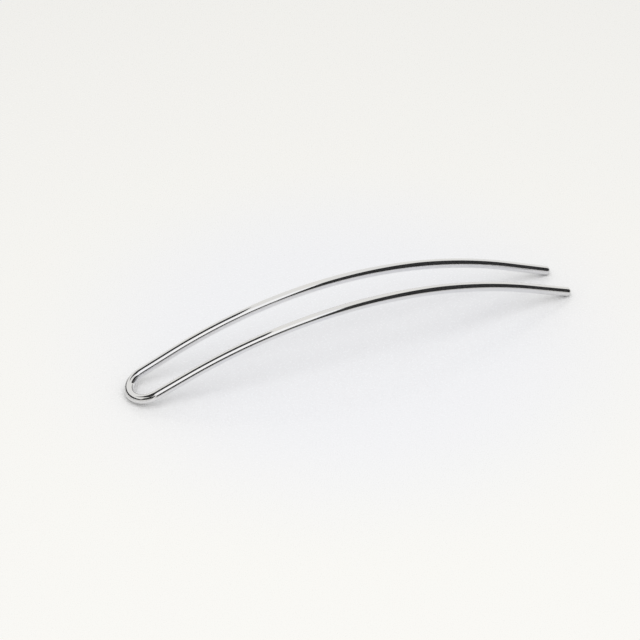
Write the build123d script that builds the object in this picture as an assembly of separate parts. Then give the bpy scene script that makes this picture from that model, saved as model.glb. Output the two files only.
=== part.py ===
from build123d import *
import os
from math import atan2, cos, degrees, radians, sin

# A hair pin bent from one length of round polished steel wire.
# It lies as it rests on a table: the bend at -X, the two tips at +X, both legs arching up in between.
# The origin is on the table, under the middle of the pin's length and width. Millimetres, +Z up.

# the wire
WIRE_DIAMETER = 2.5

# the bend, measured at the middle of the wire
BEND_RADIUS = 5.4
LEG_SPREAD = 1.5             # degrees that each leg still points outwards as it leaves the bend

# each leg: straight out of the bend, one long arch, then straight to the tip
BEND_LEAD = 9.5
ARCH_RADIUS = 136.0
ARCH_ANGLE = 41.8            # degrees that the arch turns downwards
ARCH_LEAN = 3.4              # degrees that the arch's plane leans outwards from the upright
TIP_LEAD = 12.5

WIRE_RADIUS = WIRE_DIAMETER / 2


def bend_half():
    """The bend from its outermost point to one leg, drawn flat, with that point at the origin."""
    return CenterArc((BEND_RADIUS, 0), BEND_RADIUS, 180, LEG_SPREAD - 90)


def leg(start, heading):
    """One leg's centre line, from the end of the bend to the middle of the tip's dome."""
    lean = radians(ARCH_LEAN)
    outwards = Vector(0, 0, 1).cross(heading)
    down = Vector(0, 0, -cos(lean)) - outwards * sin(lean)
    turn = radians(ARCH_ANGLE)

    arch_start = start + heading * BEND_LEAD
    arch_end = arch_start + (heading * sin(turn) + down * (1 - cos(turn))) * ARCH_RADIUS
    tip_heading = heading * cos(turn) + down * sin(turn)
    arch = TangentArc(arch_start, arch_end, tangent=heading)
    tip = arch_end + tip_heading * TIP_LEAD
    return [Line(start, arch_start), arch, Line(arch_end, tip)]


def half_pin(centre_line):
    """Wire swept from the middle of the bend to one tip, which is closed by a polished dome."""
    path = Wire(centre_line)
    wire = sweep(Plane(origin=path @ 0, z_dir=path % 0) * Circle(WIRE_RADIUS), path=path)
    dome = Sphere(WIRE_RADIUS, arc_size1=0, arc_size2=90, align=(Align.CENTER, Align.CENTER, Align.MIN))
    return wire + Plane(origin=path @ 1, z_dir=path % 1) * dome


def pin():
    """Both halves in one piece, turned and moved to where the pin rests on its bend and its tips."""
    bend = bend_half()
    centre_line = [bend, *leg(bend @ 1, bend % 1)]
    half = half_pin(centre_line)
    tip = centre_line[-1] @ 1
    rest_turn = degrees(atan2(tip.Z, tip.X))
    length = Vector(tip.X, tip.Z).length
    whole = Rotation(0, rest_turn, 0) * (half + mirror(half, about=Plane.XZ))
    return Location((-length / 2, 0, WIRE_RADIUS)) * whole


os.makedirs("parts", exist_ok=True)
hairpin_wire = pin()
export_step(hairpin_wire, "parts/hairpin_wire.step")
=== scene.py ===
import math

import bpy
from mathutils import Matrix, Vector


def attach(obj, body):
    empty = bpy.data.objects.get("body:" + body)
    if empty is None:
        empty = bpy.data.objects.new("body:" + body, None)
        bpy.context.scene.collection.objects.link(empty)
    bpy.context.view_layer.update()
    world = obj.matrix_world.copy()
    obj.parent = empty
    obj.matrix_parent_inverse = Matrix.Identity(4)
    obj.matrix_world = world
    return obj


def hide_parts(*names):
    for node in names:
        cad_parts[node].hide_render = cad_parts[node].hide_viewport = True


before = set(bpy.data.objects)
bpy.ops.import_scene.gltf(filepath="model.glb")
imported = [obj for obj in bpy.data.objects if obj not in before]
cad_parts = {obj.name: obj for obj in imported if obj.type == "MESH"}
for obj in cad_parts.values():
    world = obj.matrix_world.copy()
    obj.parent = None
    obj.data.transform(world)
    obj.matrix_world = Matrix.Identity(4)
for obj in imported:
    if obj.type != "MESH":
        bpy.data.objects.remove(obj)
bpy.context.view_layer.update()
scene = bpy.context.scene
scene.view_settings.view_transform = "Standard"


# ---- the pin ----
# A hair pin made of one length of hard-drawn steel wire, 2.5 mm thick and 259 mm long.
# The wire is cut, its ends tumbled to smooth domes, then it is bent round a former into a U
# and both legs are pressed into one long arch. Nothing is joined to it. Lengths in metres.
WIRE_RADIUS = 0.00125
BEND_RADIUS = 0.0054
LEG_SPREAD = math.radians(1.5)
BEND_LEAD = 0.0095
ARCH_RADIUS = 0.136
ARCH_ANGLE = math.radians(41.8)
ARCH_LEAN = math.radians(3.4)
TIP_LEAD = 0.0125


def half_of_the_wire():
    """Stations from the middle of the bend to one tip: distance along, place and heading."""
    stations = []
    bend_angle = math.pi / 2 - LEG_SPREAD
    for i in range(48):
        a = bend_angle * i / 48
        place = Vector((BEND_RADIUS * (1 - math.cos(a)), BEND_RADIUS * math.sin(a), 0))
        stations.append((BEND_RADIUS * a, place, Vector((math.sin(a), math.cos(a), 0))))
    along = BEND_RADIUS * bend_angle
    heading = Vector((math.sin(bend_angle), math.cos(bend_angle), 0))
    place = Vector((BEND_RADIUS * (1 - math.cos(bend_angle)), BEND_RADIUS * math.sin(bend_angle), 0))
    for i in range(12):
        stations.append((along + BEND_LEAD * i / 12, place + heading * BEND_LEAD * i / 12, heading))

    along += BEND_LEAD
    place = place + heading * BEND_LEAD
    outwards = Vector((0, 0, 1)).cross(heading)
    down = Vector((0, 0, -math.cos(ARCH_LEAN))) - outwards * math.sin(ARCH_LEAN)
    for i in range(120):
        a = ARCH_ANGLE * i / 120
        bent = place + (heading * math.sin(a) + down * (1 - math.cos(a))) * ARCH_RADIUS
        stations.append((along + ARCH_RADIUS * a, bent, heading * math.cos(a) + down * math.sin(a)))
    along += ARCH_RADIUS * ARCH_ANGLE
    place = place + (heading * math.sin(ARCH_ANGLE) + down * (1 - math.cos(ARCH_ANGLE))) * ARCH_RADIUS
    heading = heading * math.cos(ARCH_ANGLE) + down * math.sin(ARCH_ANGLE)
    for i in range(17):
        stations.append((along + TIP_LEAD * i / 16, place + heading * TIP_LEAD * i / 16, heading))
    return stations


def whole_wire():
    """Both halves end to end, as they rest on the bend and the two tips."""
    half = half_of_the_wire()
    tip = half[-1][1]
    rest = Matrix.Rotation(math.atan2(tip.z, tip.x), 3, "Y")
    drop = Vector((-math.hypot(tip.x, tip.z) / 2, 0, WIRE_RADIUS))
    other_half = [(-s, Vector((p.x, -p.y, p.z)), Vector((-d.x, d.y, -d.z))) for s, p, d in reversed(half[1:])]
    return [(s, rest @ p + drop, rest @ d) for s, p, d in other_half + half]


SIDES = 72
DOME_RINGS = 16


def wire_mesh():
    """Rings of the round wire along its whole length, closed by a dome at each tip.
    Every point also keeps its place in the straight wire before bending, as "straight_place"."""
    stations = whole_wire()
    rings = [(s, p, d, WIRE_RADIUS) for s, p, d in stations]
    first, last = stations[0], stations[-1]
    for i in range(1, DOME_RINGS):
        a = math.pi / 2 * i / DOME_RINGS
        reach, radius = WIRE_RADIUS * math.sin(a), WIRE_RADIUS * math.cos(a)
        rings.insert(0, (first[0] - reach, first[1] - first[2] * reach, first[2], radius))
        rings.append((last[0] + reach, last[1] + last[2] * reach, last[2], radius))

    points, straight, faces = [], [], []
    across = Vector((0, 0, 1))
    for s, p, d, radius in rings:
        across = (across - d * across.dot(d)).normalized()
        side = d.cross(across)
        for k in range(SIDES):
            a = 2 * math.pi * k / SIDES
            c, n = radius * math.cos(a), radius * math.sin(a)
            points.append(p + across * c + side * n)
            straight.append((s, c, n))
    for r in range(len(rings) - 1):
        for k in range(SIDES):
            a, b = r * SIDES + k, r * SIDES + (k + 1) % SIDES
            faces.append((a, b, b + SIDES, a + SIDES))
    for (s, p, d), way, ring in ((first, -1, 0), (last, 1, (len(rings) - 1) * SIDES)):
        pole = len(points)
        points.append(p + d * (way * WIRE_RADIUS))
        straight.append((s + way * WIRE_RADIUS, 0, 0))
        for k in range(SIDES):
            a, b = ring + k, ring + (k + 1) % SIDES
            faces.append((a, b, pole) if way > 0 else (b, a, pole))

    mesh = bpy.data.meshes.new("wire")
    mesh.from_pydata(points, [], faces)
    place = mesh.attributes.new("straight_place", "FLOAT_VECTOR", "POINT")
    place.data.foreach_set("vector", [v for xyz in straight for v in xyz])
    mesh.shade_smooth()
    return mesh


# Bright steel, drawn through a die and polished: it mirrors the room in long bands.
# Faint lines from the die run along the wire, thin rubbed patches and fine hairline scratches
# dull it here and there, the former left a soft grain round the bend, and tumbling one on the tips.
steel = bpy.data.materials.new("polished_wire")
steel.use_nodes = True
nodes, links = steel.node_tree.nodes, steel.node_tree.links


def node(kind, *inputs, **settings):
    """A shader node in the tree that nodes and links now name, its inputs linked or set in order."""
    n = nodes.new("ShaderNode" + kind)
    for name, value in settings.items():
        setattr(n, name, value)
    for socket, value in zip(n.inputs, inputs):
        if isinstance(value, bpy.types.NodeSocket):
            links.new(value, socket)
        elif value is not None:
            socket.default_value = value
    return n


def maths(operation, *inputs):
    return node("Math", *inputs, operation=operation).outputs[0]


def stretched(along, across):
    """The straight wire's places scaled along and across, per metre."""
    scale = (along, across, across)
    return node("VectorMath", place.outputs["Vector"], scale, operation="MULTIPLY").outputs[0]


def grain(vector, detail):
    """Soft random values about one half."""
    n = node("TexNoise", vector, noise_dimensions="3D")
    n.inputs["Scale"].default_value = 1
    n.inputs["Detail"].default_value = detail
    return n.outputs["Fac"]


def ramp(value, low, high, to_low, to_high):
    """The value's range low to high taken smoothly to to_low to to_high."""
    return node("MapRange", value, low, high, to_low, to_high, interpolation_type="SMOOTHSTEP").outputs[0]


place = node("Attribute", attribute_type="GEOMETRY", attribute_name="straight_place")
distance = maths("ABSOLUTE", node("SeparateXYZ", place.outputs["Vector"]).outputs[0])

die_lines = grain(stretched(45, 9000), 3)
rubbed = ramp(grain(stretched(130, 500), 2), 0.52, 0.70, 0, 1)
hairlines = ramp(grain(stretched(2600, 900), 1), 0.70, 0.76, 0, 1)
bend_share = ramp(distance, 0.0075, 0.0125, 1, 0)
bend_grain = maths("MULTIPLY", grain(stretched(5200, 700), 2), bend_share)
tip_share = ramp(distance, 0.1275, 0.1300, 0, 1)
tip_grain = maths("MULTIPLY", grain(stretched(4200, 4200), 2), tip_share)

roughness = ramp(die_lines, 0.30, 0.70, 0.035, 0.065)
roughness = maths("ADD", roughness, maths("MULTIPLY", rubbed, 0.030))
roughness = maths("ADD", roughness, maths("MULTIPLY", hairlines, 0.060))
roughness = maths("ADD", roughness, maths("MULTIPLY", bend_grain, 0.050))
roughness = maths("ADD", roughness, maths("MULTIPLY", tip_grain, 0.070))

relief = maths("MULTIPLY", die_lines, 0.40)
relief = maths("SUBTRACT", relief, maths("MULTIPLY", hairlines, 0.35))
relief = maths("ADD", relief, maths("MULTIPLY", bend_grain, 0.50))
relief = maths("ADD", relief, maths("MULTIPLY", tip_grain, 0.60))
bump = node("Bump")
bump.inputs["Strength"].default_value = 0.03
bump.inputs["Distance"].default_value = 0.000004
links.new(relief, bump.inputs["Height"])

tint = node("Mix", data_type="RGBA")
links.new(ramp(grain(stretched(60, 240), 2), 0.35, 0.65, 0, 1), tint.inputs["Factor"])
tint.inputs["A"].default_value = (0.775, 0.775, 0.790, 1)
tint.inputs["B"].default_value = (0.790, 0.785, 0.785, 1)
wire_finish = nodes["Principled BSDF"]
wire_finish.inputs["Metallic"].default_value = 1
links.new(tint.outputs["Result"], wire_finish.inputs["Base Color"])
links.new(roughness, wire_finish.inputs["Roughness"])
links.new(bump.outputs["Normal"], wire_finish.inputs["Normal"])

pin = bpy.data.objects.new("hair_pin", wire_mesh())
scene.collection.objects.link(pin)
pin.data.materials.append(steel)
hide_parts("hairpin_wire")
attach(pin, "root")


# ---- the view ----
# The pin lies across the view, bend at the lower left, seen through a long lens from in
# front of its right-hand leg and a little above.
VIEW_TURN = math.radians(25.063)     # from +Y towards +X
VIEW_DROP = math.radians(34.231)     # below level
VIEW_DISTANCE = 0.65
view_heading = Vector((math.sin(VIEW_TURN), math.cos(VIEW_TURN), 0))
look = view_heading * math.cos(VIEW_DROP) - Vector((0, 0, math.sin(VIEW_DROP)))
camera_data = bpy.data.cameras.new("view")
camera_data.lens = 140.4
camera_data.sensor_width = 36
camera = bpy.data.objects.new("view", camera_data)
scene.collection.objects.link(camera)
camera.location = Vector((-0.00592, 0.00596, 0.00425)) - look * VIEW_DISTANCE
camera.rotation_euler = look.to_track_quat("-Z", "Y").to_euler()
scene.camera = camera


# ---- the table ----
# A sheet of smooth pale card, very slightly glossy, with painted shade round the pin: it is drawn cooler and
# a little darker there, where the pin's shadow falls.
# It runs far past the view on every side, so no edge of it shows.
def facing(obj, turn, lift, distance):
    """Puts obj that far off, turned right of the view's heading and lifted, facing the pin."""
    turn, lift = math.radians(turn), math.radians(lift)
    right = Vector((view_heading.y, -view_heading.x, 0))
    level = view_heading * math.cos(turn) + right * math.sin(turn)
    way = level * math.cos(lift) + Vector((0, 0, math.sin(lift)))
    obj.location = way * distance
    obj.rotation_euler = way.to_track_quat("Z", "Y").to_euler()


def sheet(name, width, height, finish):
    """A flat rectangle of that finish, which isn't part of the object."""
    w, h = width / 2, height / 2
    mesh = bpy.data.meshes.new(name)
    mesh.from_pydata([(-w, -h, 0), (w, -h, 0), (w, h, 0), (-w, h, 0)], [], [(0, 1, 2, 3)])
    mesh.materials.append(finish)
    obj = bpy.data.objects.new(name, mesh)
    scene.collection.objects.link(obj)
    return obj


card = bpy.data.materials.new("table_card")
card.use_nodes = True
nodes, links = card.node_tree.nodes, card.node_tree.links
where = node("TexCoord").outputs["Object"]
from_middle = node("VectorMath", where, operation="LENGTH").outputs["Value"]
# Painted shade: the card's warm white fades to a cooler, darker grey towards the pin. It is fully grey within
# 35 mm of the middle and gone past 95 mm, standing in for the pin's shadow.
card_tone_and_painted_shade = node("Mix", data_type="RGBA")
links.new(ramp(from_middle, 0.035, 0.095, 0, 1), card_tone_and_painted_shade.inputs["Factor"])
card_tone_and_painted_shade.inputs["A"].default_value = (0.862, 0.866, 0.886, 1)
card_tone_and_painted_shade.inputs["B"].default_value = (0.900, 0.892, 0.863, 1)
fibres = grain(node("VectorMath", where, (1500, 1500, 1500), operation="MULTIPLY").outputs[0], 3)
card_finish = nodes["Principled BSDF"]
links.new(card_tone_and_painted_shade.outputs["Result"], card_finish.inputs["Base Color"])
links.new(ramp(fibres, 0.3, 0.7, 0.24, 0.28), card_finish.inputs["Roughness"])
TABLE_SIDE = 6
sheet("table", TABLE_SIDE, TABLE_SIDE, card)


# ---- the light ----
# One large soft lamp behind and above the view lights the table, and a pale room all round.
# The wire sees a smaller bright panel in the lamp's place, and black cards stand where only its
# reflection meets them, which draws its dark bands.
lamp_data = bpy.data.lights.new("soft_lamp", "AREA")
lamp_data.shape = "RECTANGLE"
lamp_data.size, lamp_data.size_y = 0.74, 0.80
LAMP_BRIGHTNESS = 1.08
lamp_data.energy = LAMP_BRIGHTNESS * math.pi * lamp_data.size * lamp_data.size_y
lamp = bpy.data.objects.new("soft_lamp", lamp_data)
scene.collection.objects.link(lamp)
facing(lamp, 180, 68, 0.70)
lamp.visible_camera = lamp.visible_glossy = False

black = bpy.data.materials.new("black_card")
black.use_nodes = True
felt = black.node_tree.nodes["Principled BSDF"].inputs
felt["Base Color"].default_value = (0.03, 0.03, 0.032, 1)
felt["Roughness"].default_value = 0.9
white = bpy.data.materials.new("white_panel")
white.use_nodes = True
glow = white.node_tree.nodes["Principled BSDF"].inputs
glow["Base Color"].default_value = (0, 0, 0, 1)
glow["Emission Color"].default_value = (1, 1, 1, 1)
glow["Emission Strength"].default_value = 1.1
for name, turn, lift, distance, width, height, finish in (
    ("panel_lamp", 166, 51, 0.70, 0.56, 0.66, white),
    ("card_right", 101, 30, 0.90, 1.26, 1.16, black),
    ("card_front", 148, 14.5, 0.60, 0.46, 0.31, black),
    ("card_left", -84, 15, 0.66, 1.30, 0.24, black),
    ("card_behind", -154, 22, 0.64, 0.60, 0.38, black),
    ("card_overhead", -110, 68, 0.80, 1.00, 0.62, black),
):
    flag = sheet(name, width, height, finish)
    facing(flag, turn, lift, distance)
    flag.visible_camera = flag.visible_diffuse = False
    flag.visible_shadow = flag.visible_transmission = False

world = bpy.data.worlds.new("room")
scene.world = world
world.use_nodes = True
nodes, links = world.node_tree.nodes, world.node_tree.links
ray = node("LightPath").outputs
seen = maths("MAXIMUM", ray["Is Camera Ray"], ray["Is Glossy Ray"])
seen = maths("MAXIMUM", seen, ray["Is Transmission Ray"])
room = node("Mix", data_type="RGBA")
links.new(seen, room.inputs["Factor"])
room.inputs["A"].default_value = (0.755, 0.755, 0.755, 1)
room.inputs["B"].default_value = (0.92, 0.913, 0.88, 1)
links.new(room.outputs["Result"], nodes["Background"].inputs["Color"])
